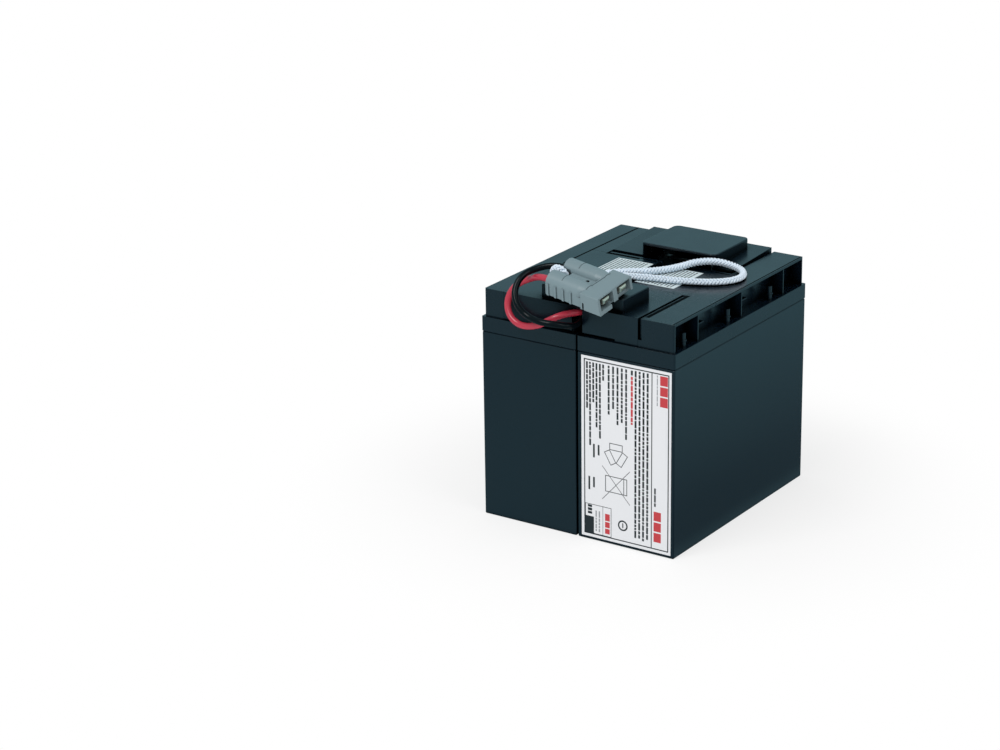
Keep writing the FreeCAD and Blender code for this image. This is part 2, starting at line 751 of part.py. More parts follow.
# ---------------------------------------------------------------- cords
def cord(name, points, diameter):
    """A tube of straight runs joined by tangent arcs."""
    edges = []
    start = points[0]
    radii = []
    for before, corner, after in zip(points, points[1:], points[2:]):
        back = (before - corner).normalize()
        ahead = (after - corner).normalize()
        turn = math.pi - back.getAngle(ahead)
        reach = 0.45 * min(before.distanceToPoint(corner), corner.distanceToPoint(after))
        radius = reach / math.tan(turn / 2)
        radii.append(radius)
        first = corner + back * reach
        last = corner + ahead * reach
        inward = (back + ahead).normalize()
        middle = corner + inward * (radius / math.cos(turn / 2) - radius)
        edges.append(Part.makeLine(start, first))
        edges.append(Part.Arc(first, middle, last).toShape())
        start = last
    edges.append(Part.makeLine(start, points[-1]))
    path = Part.Wire(edges)
    section = Part.Wire(Part.makeCircle(diameter / 2, points[0], points[1] - points[0]))
    tube = path.makePipeShell([section], True, False)
    ratio = tube.Volume / (path.Length * math.pi * diameter ** 2 / 4)
    print(name, "length", round(path.Length, 1), "volume ratio", round(ratio, 4),
          "radii", [round(r, 1) for r in radii])
    return tube


def wire_exit(pole, u):
    return plug_point(u, pole * plug_pole_offset, plug_barrel_radius)


def lug_mouth(side, before):
    """A point on a lug's axis, this far before the mouth of its barrel."""
    reach = lug_barrel_start + lug_barrel_length + before
    angle = math.radians(lug_turn)
    return V(side * (terminal_x - reach * math.cos(angle)),
             -terminal_y - reach * math.sin(angle), lug_axis_z)


# Points on the cords: across, in from the front end, and above the lids' tops.
def over_lid(x, inward, up):
    return V(x, inward - half_depth, lid_top + up)


# the black lead leaves the far pole, swings out in front of the left battery and
# comes in by the notch in the front cover to the left battery's front terminal
black_route = [wire_exit(1, contact_barrel_start), wire_exit(1, -10),
               over_lid(-36.7, 1.8, 19.9), over_lid(-40.1, -6, 16.7),
               over_lid(-41.4, -11.1, 10.9), over_lid(-39.7, -15.1, 4.5),
               over_lid(-34.8, -17.5, -1.8), over_lid(-27.4, -17.2, -7),
               over_lid(-15.9, -19.4, -8.2), over_lid(-7.2, -17.5, -8.4),
               over_lid(-0.6, -11.5, -10.2), over_lid(1.7, -3, -12.2),
               over_lid(0.3, 5.8, -10.7),
               lug_mouth(-1, 5.1), lug_mouth(-1, 0)]

# the red lead leaves the near pole, hangs behind the black one and comes in above
# it to the right battery's front terminal
red_route = [wire_exit(-1, contact_barrel_start), wire_exit(-1, -8),
             over_lid(-38.8, 4.3, 12.8), over_lid(-49.1, 2.5, 7.6),
             over_lid(-53.6, -0.9, 0.5), over_lid(-53.2, -4.4, -7.8),
             over_lid(-48.1, -6.9, -14.7), over_lid(-38.6, -8.1, -18.5),
             over_lid(-24.2, -10.6, -14.7), over_lid(-14.3, -11.6, -8.6),
             over_lid(-7.9, -8, -5.1), over_lid(-3.1, -1.7, -4.3),
             over_lid(1.3, 8.4, -5.1),
             lug_mouth(1, 4.4), lug_mouth(1, 0)]

# the pull rope: up out of the hole at the connector's wire end, down behind it,
# over the front block, round the loop on the lids and back to the knot
rope_up = label_thickness + rope_diameter / 2 + rope_clearance
knot_up = knot_diameter / 2 + rope_clearance
rope_route = [plug_point(plug_rope_hole_u, 0, plug_rope_hole_floor),
              plug_point(plug_rope_hole_u, 0, 7.8), plug_point(1.2, 0, 11.6),
              plug_point(-3.5, 0, 11.2), plug_point(-6.2, 0, 7.6),
              plug_point(-6.8, 0.5, 3),
              over_lid(-20.5, 10, 13.4), over_lid(-15.5, 17.5, 12),
              over_lid(-10, 25, 12), over_lid(-7.8, 32.9, 12.3),
              over_lid(-9.2, 43.4, 12.3), over_lid(-15.6, 54.9, 3.9),
              over_lid(-16.7, 67.4, rope_up), over_lid(-8, 77, rope_up),
              over_lid(3.4, 83.8, rope_up), over_lid(12.7, 93.5, rope_up),
              over_lid(18.7, 105.4, rope_up + 0.1), over_lid(25.5, 115, rope_up + 2.2),
              over_lid(37.9, 120.6, rope_up + 3.6),
              over_lid(51.1, 124.8, rope_up + 0.9), over_lid(62.4, 118.9, rope_up),
              over_lid(67.3, 105.8, rope_up), over_lid(62.4, 93.6, rope_up),
              over_lid(51.7, 85.4, rope_up), over_lid(39.8, 80.3, rope_up),
              over_lid(27.4, 76.7, rope_up), over_lid(14.6, 74.2, rope_up),
              over_lid(0.7, 69.9, rope_up), over_lid(-3.4, 60.7, knot_up),
              over_lid(-2.1, 52, knot_up)]


def rope_knot():
    """The stopper knot on the rope's end, behind the front cover's block."""
    end = rope_route[-1]
    onward = (end - rope_route[-2]).normalize()
    body = Part.makeCylinder(knot_diameter / 2, knot_length, end, onward)
    return body.makeChamfer(knot_chamfer, [e for e in body.Edges if e.isClosed()])


# ---------------------------------------------------------------- build
for name, side in sides.items():
    shoulder = shoulders[name]
    body = lid(side, shoulder)
    if name == "right":
        body = groove_details(body, side, shoulder)
    else:
        body = engraved_line(body, side, shoulder)
    export(name + "_lid", body)
    export(name + "_container", container(side))
    export(name + "_plate_groups", plate_groups(side))
    export(name + "_cell_straps", cell_straps(side))
    export(name + "_valve_caps", valve_caps(side))
    export(name + "_valve_bay_cover", bay_cover(side, shoulder))
    for end_name, end in (("front", -1), ("rear", 1)):
        export(name + "_" + end_name + "_terminal",
               terminal(side * terminal_x, end * terminal_y))

terminals = [(x, y) for x in (-terminal_x, terminal_x) for y in (-terminal_y, terminal_y)]
export("terminal_bolts", Part.makeCompound([bolt(x, y) for x, y in terminals]))
export("terminal_washers", Part.makeCompound([washer(x, y) for x, y in terminals]))
export("lead_lugs", Part.makeCompound([lug(side) for side in (-1, 1)]))
export("series_link", link_bar())
export("front_terminal_cover", front_cover())
export("rear_terminal_cover", rear_cover())
export("adhesive_pads", pads())
export("front_label", container_front_label())
export("left_top_label", top_label(left_top_label))
export("right_top_label", top_label(right_top_label))
export("connector_housing", plug_housing())
export("connector_contacts", plug_contacts())
export("connector_springs", plug_springs())
export("black_lead", cord("black_lead", black_route, lead_diameter))
export("red_lead", cord("red_lead", red_route, lead_diameter))
export("pull_rope", cord("pull_rope", rope_route, rope_diameter))
export("rope_knot", rope_knot())
print("connector base", [round(c, 2) for c in (plug_x, plug_y, plug_z)])
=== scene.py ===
# %% [markdown]
# # UPS battery cartridge, the looks
# Two sealed 12 V batteries stand side by side on a pale table. They are taped
# together, wired in series and fitted with a two-pole power connector, a rope
# pull loop and a white label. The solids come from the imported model, already in
# place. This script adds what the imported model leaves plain: the finishes, the
# braided rope with its knot, the soft leads, the marks printed on the labels,
# the table, the light and the camera. Blender measures in metres. Sizes of the
# real part are written in millimetres, and MM turns them into metres.

# %% Start
import math
import random

import bmesh
import bpy
from mathutils import Euler, Matrix, Quaternion, Vector
from mathutils.bvhtree import BVHTree


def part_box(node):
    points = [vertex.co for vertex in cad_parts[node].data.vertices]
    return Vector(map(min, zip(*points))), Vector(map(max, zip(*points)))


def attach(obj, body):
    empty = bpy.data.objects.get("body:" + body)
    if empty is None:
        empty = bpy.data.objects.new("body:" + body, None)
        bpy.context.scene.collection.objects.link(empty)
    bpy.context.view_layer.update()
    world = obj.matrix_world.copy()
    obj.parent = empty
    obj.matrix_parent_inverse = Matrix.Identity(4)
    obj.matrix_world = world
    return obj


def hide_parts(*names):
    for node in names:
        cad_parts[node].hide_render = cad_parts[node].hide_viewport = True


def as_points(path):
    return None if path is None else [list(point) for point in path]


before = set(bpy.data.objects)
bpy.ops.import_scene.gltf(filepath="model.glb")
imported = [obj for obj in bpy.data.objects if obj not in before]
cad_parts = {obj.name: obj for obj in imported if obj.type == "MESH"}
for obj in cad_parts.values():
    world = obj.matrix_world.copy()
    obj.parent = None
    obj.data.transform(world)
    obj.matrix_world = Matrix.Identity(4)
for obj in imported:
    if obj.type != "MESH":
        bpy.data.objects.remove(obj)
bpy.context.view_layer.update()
MM = 0.001
scene = bpy.context.scene
print("packed nodes:", len(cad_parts))

# %% [markdown]
# A finish is a small network of nodes, so one function adds a node and sets its
# values and its links in one line. Colours are written as the hex codes a paint
# chart would give and turned to linear light, because the renderer adds light
# and does not add screen values.

# %% Colours and nodes
def linear(code):
    """A chart colour such as '8D9C9F' as linear red, green, blue and alpha."""
    parts = [int(code[i:i + 2], 16) / 255 for i in (0, 2, 4)]
    return [p / 12.92 if p <= 0.04045 else ((p + 0.055) / 1.055) ** 2.4
            for p in parts] + [1.0]


def add(tree, kind, settings=None, **inputs):
    """Adds a node, sets its properties, and sets or links its inputs by name."""
    node = tree.nodes.new(kind)
    for name, value in (settings or {}).items():
        setattr(node, name, value)
    for name, value in inputs.items():
        key = int(name[1:]) if name[0] == "_" else name.replace("_", " ")
        if isinstance(value, bpy.types.NodeSocket):
            tree.links.new(value, node.inputs[key])
        else:
            node.inputs[key].default_value = value
    return node


WHITE = linear("FFFFFF")
print("chart grey 808080 in linear light:", round(linear("808080")[0], 3))

# %% [markdown]
# Every finish on this part is built from the same few effects. Grain is a fine
# bump. Mottle varies the gloss in soft patches, as handling does. A rounded edge
# catches a line of light, though the solid's own edge is sharp. Painted shade
# darkens a hollow by how little open room it sees, and the hollow loses its gloss
# with its colour.

# %% One finish
GRAIN_DEPTH = 0.02
CLOUD_LOW, CLOUD_HIGH = 0.3, 0.7
CAVITY_RAYS = 12
EDGE_RAYS = 6


def finish_of(name, code, roughness, metallic=0.0, edge=0.0, grain=0.0,
              grain_size=0.3, mottle=0.0, mottle_size=20.0, shine=0.5,
              painted_shade_reach=0.0, painted_shade_colour="020304", closed=0.15, opened=0.8):
    """A finish. Its edge, grain_size, mottle_size and cavity are in millimetres.

    A hollow gets painted shade: a place that sees only the closed share of open
    room has the shade colour, and one that sees the opened share or more has its
    full colour and shine.
    """
    material = bpy.data.materials.new(name)
    material.use_nodes = True
    tree = material.node_tree
    shader = tree.nodes["Principled BSDF"]
    shader.inputs["Base Color"].default_value = linear(code)
    shader.inputs["Roughness"].default_value = roughness
    shader.inputs["Metallic"].default_value = metallic
    shader.inputs["Specular IOR Level"].default_value = shine
    if painted_shade_reach:
        # Painted shade: where the surface sees little open room, its colour turns to
        # the shade colour and its gloss drops.
        near = add(tree, "ShaderNodeAmbientOcclusion", {"samples": CAVITY_RAYS},
                   Distance=painted_shade_reach * MM)
        open_share = add(tree, "ShaderNodeMapRange", Value=near.outputs["AO"],
                         From_Min=closed, From_Max=opened)
        shade = add(tree, "ShaderNodeMix", {"data_type": "RGBA"},
                    _0=open_share.outputs["Result"], _6=linear(painted_shade_colour),
                    _7=linear(code))
        gleam = add(tree, "ShaderNodeMath", {"operation": "MULTIPLY"},
                    _0=open_share.outputs["Result"], _1=shine)
        tree.links.new(shade.outputs[2], shader.inputs["Base Color"])
        tree.links.new(gleam.outputs[0], shader.inputs["Specular IOR Level"])
    place = add(tree, "ShaderNodeTexCoord").outputs["Object"]
    normal = None
    if edge:
        normal = add(tree, "ShaderNodeBevel", {"samples": EDGE_RAYS},
                     Radius=edge * MM).outputs["Normal"]
    if grain:
        noise = add(tree, "ShaderNodeTexNoise", Vector=place,
                    Scale=1 / (grain_size * MM), Detail=2.0)
        bump = add(tree, "ShaderNodeBump", Strength=grain,
                   Distance=GRAIN_DEPTH * MM, Height=noise.outputs["Fac"])
        if normal is not None:
            tree.links.new(normal, bump.inputs["Normal"])
        normal = bump.outputs["Normal"]
    if normal is not None:
        tree.links.new(normal, shader.inputs["Normal"])
    if mottle:
        cloud = add(tree, "ShaderNodeTexNoise", Vector=place,
                    Scale=1 / (mottle_size * MM), Detail=3.0)
        spread = add(tree, "ShaderNodeMapRange", Value=cloud.outputs["Fac"],
                     From_Min=CLOUD_LOW, From_Max=CLOUD_HIGH,
                     To_Min=roughness - mottle, To_Max=roughness + mottle)
        tree.links.new(spread.outputs["Result"], shader.inputs["Roughness"])
    return material


# %% [markdown]
# ## The cases
# The containers and lids are injection moulded from black ABS, the usual plastic
# of sealed batteries because it welds well and holds acid. The moulds are spark
# eroded, which leaves a fine even grain. The plastic itself is nearly black. Most
# of the colour seen on it is the cold room it mirrors, and it mirrors more at a
# low angle. That is why the top looks lighter than the front, though they are the
# same plastic. The pockets and gaps get painted shade: their colour and gloss are
# darkened by how little of the room they can see.

# %% Finishes of the cases and covers
BLACK_ABS = "04121D"
# All three plastics below are painted with shade in their hollows.
case = finish_of("case ABS", BLACK_ABS, 0.2, edge=0.35, grain=0.1, mottle=0.03,
                 painted_shade_reach=6.0)
lid_plastic = finish_of("lid ABS", BLACK_ABS, 0.26, edge=0.35, grain=0.15,
                        mottle=0.03, painted_shade_reach=14.0, closed=0.42, opened=0.66)
cover_plastic = finish_of("cover ABS", BLACK_ABS, 0.25, edge=0.35, grain=0.15,
                          mottle=0.03, painted_shade_reach=25.0, closed=0.45)
rubber = finish_of("valve rubber", "17191A", 0.75, grain=0.5, grain_size=0.5)
foam = finish_of("foam tape", "4A4D4F", 0.9, grain=0.8, grain_size=0.6)
print("black ABS in linear light:", [round(c, 4) for c in linear(BLACK_ABS)[:3]])

# %% [markdown]
# ## Metals
# The posts are cast lead, dull grey with a bloom of oxide. The screws and washers
# are zinc plated steel. The link and the lugs are tinned copper, brighter and
# smoother than lead. The contacts in the connector are silver plated, a little
# warm with tarnish, so they stay bright. They are painted darker towards the rim,
# as shade where they sit far inside the connector's mouth.

# %% Finishes of the metals
cast_lead = finish_of("cast lead", "7D8084", 0.55, 1.0, edge=0.2, grain=0.6,
                      mottle=0.12)
plate_paste = finish_of("plate paste", "4B4540", 0.85, grain=0.9, grain_size=0.8)
zinc = finish_of("zinc plated steel", "B9BDBE", 0.32, 1.0, edge=0.15, mottle=0.06)
tin = finish_of("tinned copper", "C9C9C4", 0.28, 1.0, edge=0.15, mottle=0.06)
# The silver is painted darker where it sits far inside the mouth, as shade.
silver = finish_of("silver plate", "F2DECA", 0.34, 1.0, edge=0.6, mottle=0.04,
                   painted_shade_reach=2.2, painted_shade_colour="1C1D1A", closed=0.2)
spring = finish_of("spring steel", "9EA2A4", 0.3, 1.0, mottle=0.05)
metals = (cast_lead, zinc, tin, silver, spring)
print("metals:", ", ".join(metal.name for metal in metals))

# %% [markdown]
# ## Connector, leads, rope and label
# The connector is glass filled polycarbonate moulded in the grey that marks the
# 36 V key. It has a satin skin and small radii, so its barrels carry a soft light
# streak, and its mouths and hollows are painted darker, as shade. The leads are
# 10 gauge copper in soft PVC, which is glossy and takes a clear highlight along
# its top. The rope is spun polypropylene, white with a cold tint, and painted
# greyer between the yarns, as shade. The label is a white polypropylene film with
# a satin face. The two lid labels are a colder white, and the inks are matt.

# %% Finishes of the connector, leads, rope and label
# The connector's mouths and hollows are painted darker, as shade.
grey_plastic = finish_of("connector plastic", "7A8D93", 0.36, edge=0.3, grain=0.3,
                         mottle=0.05, shine=0.4, painted_shade_reach=4.5)
black_pvc = finish_of("black PVC", "04090D", 0.2, shine=0.17)
red_pvc = finish_of("red PVC", "BD3447", 0.22)
# The rope is painted greyer between its yarns, as shade.
rope_fibre = finish_of("rope fibre", "E2F0FC", 0.7, grain=0.6, grain_size=0.15,
                       shine=0.2, painted_shade_reach=1.6, painted_shade_colour="9DB0C2")
label_film = finish_of("label film", "E8E9EC", 0.42)
lid_label_film = finish_of("lid label film", "D9E8EC", 0.42)
print_black = finish_of("black ink", "1D1F23", 0.5)
print_red = finish_of("red ink", "C8383F", 0.5)
print_grey = finish_of("grey ink", "8F9296", 0.5)
inks = (print_black, print_red, print_grey)
print("inks:", ", ".join(ink.name for ink in inks))

# %% [markdown]
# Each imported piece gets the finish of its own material, by name.

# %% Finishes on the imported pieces
worn_by = {
    case: ["left_container", "right_container"],
    lid_plastic: ["left_lid", "right_lid"],
    cover_plastic: ["front_terminal_cover", "rear_terminal_cover",
                    "left_valve_bay_cover", "right_valve_bay_cover"],
    rubber: ["left_valve_caps", "right_valve_caps"],
    foam: ["adhesive_pads"],
    cast_lead: ["left_front_terminal", "left_rear_terminal", "right_front_terminal",
                "right_rear_terminal", "left_cell_straps", "right_cell_straps"],
    plate_paste: ["left_plate_groups", "right_plate_groups"],
    zinc: ["terminal_bolts", "terminal_washers"],
    tin: ["lead_lugs", "series_link"],
    silver: ["connector_contacts"],
    spring: ["connector_springs"],
    grey_plastic: ["connector_housing"],
    rope_fibre: ["rope_knot"],
    label_film: ["front_label"],
    lid_label_film: ["left_top_label", "right_top_label"],
}
for finish, names in worn_by.items():
    for name in names:
        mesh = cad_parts[name].data
        mesh.materials.clear()
        mesh.materials.append(finish)
print("pieces finished:", sum(len(names) for names in worn_by.values()))

# %% [markdown]
# New pieces are made the same way each time: a shape, an object that shows it,
# and the body that it rides on. Three short functions save writing that out.

# %% Small helpers for new pieces
def metres(point):
    """A point given in millimetres, as metres."""
    return [c * MM for c in point]


def shown(name, data):
    """An object that shows this mesh, curve, lamp or camera in the scene."""
    made = bpy.data.objects.new(name, data)
    scene.collection.objects.link(made)
    return made


def mesh_of(name, shape, finish):
    """The worked shape as a mesh with this finish. The shape is used up."""
    mesh = bpy.data.meshes.new(name)
    shape.to_mesh(mesh)
    shape.free()
    mesh.materials.append(finish)
    return mesh


print("10 mm in metres:", metres((10, 10, 10)))

# %% [markdown]
# ## Fine lines of the connector
# The housing is moulded in two halves and glued. Where the head begins, beside
# the near barrel and over each barrel, the seams and creases lie in shade, and each
# dark line there is painted shade: a thin dark thread laid on the surface. A line
# follows the surface: a ray is cast down at every step, and a thin round thread is
# laid through the hits. The real seams are finer, and these are as thick as they
# need to be to show.

# %% The connector's own place and surface
PLUG_CENTRE = (-14.2, -87.2, 180.69)
PLUG_TILT = (12.3, 7.4, -4.7)
plug = (Matrix.Translation(metres(PLUG_CENTRE))
        @ Euler([math.radians(a) for a in PLUG_TILT]).to_matrix().to_4x4())
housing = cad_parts["connector_housing"].data
surface = BVHTree.FromPolygons([v.co for v in housing.vertices],
                               [p.vertices[:] for p in housing.polygons])
print("faces under the threads:", len(housing.polygons))

# %% Seams of the connector
SEAM_STEPS = 24
ABOVE_PLUG = 30.0
BARREL_MIDDLE = 9.2
BARREL_SEAM_PLACE = 12.0
BARREL_SEAM_HALF = 4.2
# The threads' colour is painted shade, the dark of the seams' narrow grooves.
seam_shade = finish_of("seam shadow", "2C363A", 0.8, grain=0.3)


def thread(name, start, end, radius):
    """A dark thread on the housing between two spots, in its own millimetres."""
    # The thread is painted shade: a dark line where a seam lies in shadow.
    down = plug.to_3x3() @ Vector((0, 0, -1))
    data = bpy.data.curves.new(name, "CURVE")
    data.dimensions = "3D"
    data.bevel_depth = radius * MM
    data.bevel_resolution = 1
    data.use_fill_caps = True
    line = data.splines.new("POLY")
    line.points.add(SEAM_STEPS)
    for index, spot in enumerate(line.points):
        u, v = (a + (b - a) * index / SEAM_STEPS for a, b in zip(start, end))
        hit = surface.ray_cast(plug @ Vector(metres((u, v, ABOVE_PLUG))), down)[0]
        spot.co = [*hit, 1.0]
    data.materials.append(seam_shade)
    made = shown(name, data)
    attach(made, "root")


thread("head_seam", (31.6, -12.4), (32.8, 12.6), 0.2)
thread("valley_seam", (9.5, -2.35), (25.5, -2.35), 0.15)
for side, middle in (("near", -BARREL_MIDDLE), ("far", BARREL_MIDDLE)):
    thread(side + "_barrel_seam", (BARREL_SEAM_PLACE, middle - BARREL_SEAM_HALF),
           (BARREL_SEAM_PLACE, middle + BARREL_SEAM_HALF), 0.17)

# %% [markdown]
# ## Webs in the side pockets
# Two of the pocket ribs in each lid carry a small level web, moulded with the lid.
# Only its thin front edge catches the light. A web is a cube stretched to size,
# which is all that a flat rib needs.

# %% Webs of the lids
WEB_ACROSS, WEB_ALONG, WEB_THICK = 9.4, 8.4, 0.6
WEB_FROM_MIDDLE = 70.2
WEB_PAST_RIB = 4.6
WEB_LEVEL = 158.4
RIBS_WITH_WEBS = (-57.5, 1.2)
webs = bmesh.new()
for side in (-1, 1):
    for rib in RIBS_WITH_WEBS:
        middle = metres((side * WEB_FROM_MIDDLE, rib + WEB_PAST_RIB, WEB_LEVEL))
        size = metres((WEB_ACROSS, WEB_ALONG, WEB_THICK))
        place = Matrix.Translation(middle) @ Matrix.Diagonal((*size, 1))
        bmesh.ops.create_cube(webs, size=1.0, matrix=place)
pocket_webs = shown("pocket_webs", mesh_of("pocket_webs", webs, lid_plastic))
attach(pocket_webs, "root")
print("faces of the webs:", len(pocket_webs.data.polygons))

# %% [markdown]
# ## The leads
# A lead is a soft round cord, so a curve with a round bevel is its natural form.
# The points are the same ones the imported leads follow. The curve runs smoothly
# near them, as soft PVC would.

# %% A smooth cord
def curve_of(name, points, radius, finish, sides=6):
    """A smooth round cord near these points, given in millimetres."""
    data = bpy.data.curves.new(name, "CURVE")
    data.dimensions = "3D"
    data.resolution_u = 6
    data.bevel_depth = radius * MM
    data.bevel_resolution = sides
    data.use_fill_caps = True
    line = data.splines.new("NURBS")
    line.points.add(len(points) - 1)
    for spot, point in zip(line.points, points):
        spot.co = metres(point) + [1.0]
    line.order_u = 3
    line.use_endpoint_u = True
    data.materials.append(finish)
    return shown(name, data)


# %% The two leads
LEAD_DIAMETER = 4.6
BLACK_LENGTH = 134.1
RED_LENGTH = 144.3
black_points = [(-7.5, -80.3, 189.0), (-22.3, -79.1, 190.9), (-36.7, -88.7, 186.9),
                (-40.1, -96.5, 183.7), (-41.4, -101.6, 177.9), (-39.7, -105.6, 171.5),
                (-34.8, -108, 165.2), (-27.4, -107.7, 160), (-15.9, -109.9, 158.8),
                (-7.2, -108, 158.6), (-0.6, -102, 156.8), (1.7, -93.5, 154.8),
                (0.3, -84.7, 156.3), (-4.6, -78.6, 160.7), (-9.0, -76.0, 160.7)]
red_points = [(-9.5, -98.2, 185.1), (-22.3, -97.1, 186.8), (-38.8, -86.2, 179.8),
              (-49.1, -88, 174.6), (-53.6, -91.4, 167.5), (-53.2, -94.9, 159.2),
              (-48.1, -97.4, 152.3), (-38.6, -98.6, 148.5), (-24.2, -101.1, 152.3),
              (-14.3, -102.1, 158.4), (-7.9, -98.5, 161.9), (-3.1, -92.2, 162.7),
              (1.3, -82.1, 161.9), (5.2, -78.2, 160.7), (9.0, -76.0, 160.7)]
black_lead = curve_of("black_wire", black_points, LEAD_DIAMETER / 2, black_pvc)
red_lead = curve_of("red_wire", red_points, LEAD_DIAMETER / 2, red_pvc)
for lead, points, node, length in (
        (black_lead, black_points, "black_lead", BLACK_LENGTH),
        (red_lead, red_points, "red_lead", RED_LENGTH)):
    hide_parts(node)
    metres(points[0])
    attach(lead, "root")
    print(node, "is", length, "mm long, from", len(points), "points")

# %% [markdown]
# ## The rope
# The pull loop is a braid of eight yarns, four each way, and each yarn runs over
# two and under two. The real yarns are finer, and the braid is drawn as coarse as
# it needs to be to show. Its route is drawn as one smooth line, and every yarn is
# wound round that line with its height over the line rising and falling, so the
# over and under come out right. Each yarn also swells where it lies on top, as a
# soft yarn does where nothing presses it flat. That gives the rope its knobs.

# %% Route and sizes of the rope
rope_points = [(-8.7, -88.4, 183.4), (-8.2, -89.4, 187.6), (-11.8, -89.9, 191.8),
               (-16.5, -89.4, 192.0), (-19.5, -88.4, 188.9), (-20.5, -86.8, 184.6),
               (-20.5, -80.5, 180.4), (-15.5, -73, 179), (-10, -65.5, 179),
               (-7.8, -57.6, 179.3), (-9.2, -47.1, 179.3), (-15.6, -35.6, 170.9),
               (-16.7, -23.1, 169.85), (-8, -13.5, 169.85), (3.4, -6.7, 169.85),
               (12.7, 3, 169.85), (18.7, 14.9, 169.95), (25.5, 24.5, 172.05),
               (37.9, 30.1, 173.45), (51.1, 34.3, 170.75), (62.4, 28.4, 169.85),
               (67.3, 15.3, 169.85), (62.4, 3.1, 169.85), (51.7, -5.1, 169.85),
               (39.8, -10.2, 169.85), (27.4, -13.8, 169.85), (14.6, -16.3, 169.85),
               (0.7, -20.6, 169.85), (-3.4, -29.8, 172.1), (-2.1, -38.5, 172.1)]
ROPE_STEP = 0.45      # between two spots of the line
CORE_RADIUS = 1.1
YARNS_EACH_WAY = 4
YARN_PITCH = 9.6      # along the rope, for one turn of a yarn round it
YARN_RADIUS = 0.84
YARN_SWELL = 0.1      # how much thicker a yarn is on top, as a share
BRAID_RADIUS = 1.3    # from the rope's middle to a yarn's middle
BRAID_LIFT = 0.42     # how far a yarn rises and falls from there
WAVE_START = 0.25     # where a yarn's first crossing lies, in half waves


# %% The rope's line, in even steps
def line_through(points):
    """The smooth line near the points, as dense spots read back from its spline."""
    guide = curve_of("guide", points, 0.0, rope_fibre)
    guide.data.resolution_u = 24
    guide.data.use_fill_caps = False
    mesh = bpy.data.meshes.new_from_object(guide)
    spots = [v.co.copy() for v in mesh.vertices]
    bpy.data.objects.remove(guide)
    bpy.data.meshes.remove(mesh)
    return spots


def evenly(spots, step):
    """Spots at an even spacing along a line."""
    result = [spots[0]]
    travelled = 0.0
    for a, b in zip(spots, spots[1:]):
        run = (b - a).length
        while run and travelled + run >= step:
            part = (step - travelled) / run
            a = a.lerp(b, part)
            result.append(a)
            run = (b - a).length
            travelled = 0.0
        travelled += run
    result.append(spots[-1])
    return result


rope_line = evenly(line_through(rope_points), ROPE_STEP * MM)
print("spots along the rope:", len(rope_line))


# %% Yarns plaited round the line
def frames_along(spots):
    """Each spot with its two cross directions, carried on without a twist."""
    ahead = (spots[1] - spots[0]).normalized()
    across = ahead.orthogonal().normalized()
    travelled = 0.0
    for index, spot in enumerate(spots):
        before = spots[max(index - 1, 0)]
        after = spots[min(index + 1, len(spots) - 1)]
        turned = (after - before).normalized()
        across = ahead.rotation_difference(turned) @ across
        ahead = turned
        travelled += (spot - before).length
        yield spot, across.copy(), ahead.cross(across), travelled


def braid(name, spots, finish):
    """Yarns plaited round a line of evenly spaced spots."""
    data = bpy.data.curves.new(name, "CURVE")
    data.dimensions = "3D"
    data.bevel_depth = YARN_RADIUS * MM
    data.bevel_resolution = 1
    frames = list(frames_along(spots))
    for hand in (1, -1):
        for yarn in range(YARNS_EACH_WAY):
            line = data.splines.new("POLY")
            line.points.add(len(spots) - 1)
            for target, (spot, side, up, run) in zip(line.points, frames):
                turns = run / (YARN_PITCH * MM)
                angle = 2 * math.pi * (hand * turns + yarn / YARNS_EACH_WAY)
                wave = yarn + hand * YARNS_EACH_WAY * turns - WAVE_START
                over = hand * math.cos(math.pi * wave)
                lift = BRAID_RADIUS + BRAID_LIFT * over
                out = side * math.cos(angle) + up * math.sin(angle)
                target.co = [*(spot + out * lift * MM), 1.0]
                target.radius = 1 + YARN_SWELL * over
    holder = bpy.data.objects.new(name, data)
    mesh = bpy.data.meshes.new_from_object(holder)
    bpy.data.objects.remove(holder)
    for face in mesh.polygons:
        face.use_smooth = True
    mesh.materials.clear()
    mesh.materials.append(finish)
    return shown(name, mesh)


rope = braid("braided_rope", rope_line, rope_fibre)
print("faces of the braid:", len(rope.data.polygons))

# %% The rope and its core
core = curve_of("rope_core", rope_points, CORE_RADIUS, rope_fibre, sides=3)
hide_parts("pull_rope")
metres(rope_points[0])
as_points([list(spot) for spot in rope_line[::4]] + [list(rope_line[-1])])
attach(rope, "root")
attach(core, "root")
print("the core is", 2 * CORE_RADIUS, "mm thick")

# %% [markdown]
# ## The printed labels
# The real label is screen printed in black and red. Its marks are drawn here as
# plain bars and simple shapes: rows of small bars where lines of small print
# would be, coloured fields, frames and a ring. Nothing can be read. Each mark is
# a very thin plate lying on the label, made from a cube, so it keeps a sharp edge
# at any distance. Places on a label are in the cartridge's own millimetres.

# %% Thin plates of ink
INK = 0.04
ON_FRONT = (Matrix.Translation((0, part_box("front_label")[0].y, 0))
            @ Matrix.Rotation(math.radians(90), 4, "X"))
top_label_low, top_label_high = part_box("left_top_label")
ON_TOP_LABEL = Matrix.Translation((0, 0, top_label_high.z))
ON_LID = Matrix.Translation((0, 0, top_label_low.z))


def mark(x0, x1, y0, y1, turn=0.0):
    """A bar between two sides and two ends, turned about its middle by degrees."""
    return (x0 + x1) / 2, (y0 + y1) / 2, x1 - x0, y1 - y0, turn


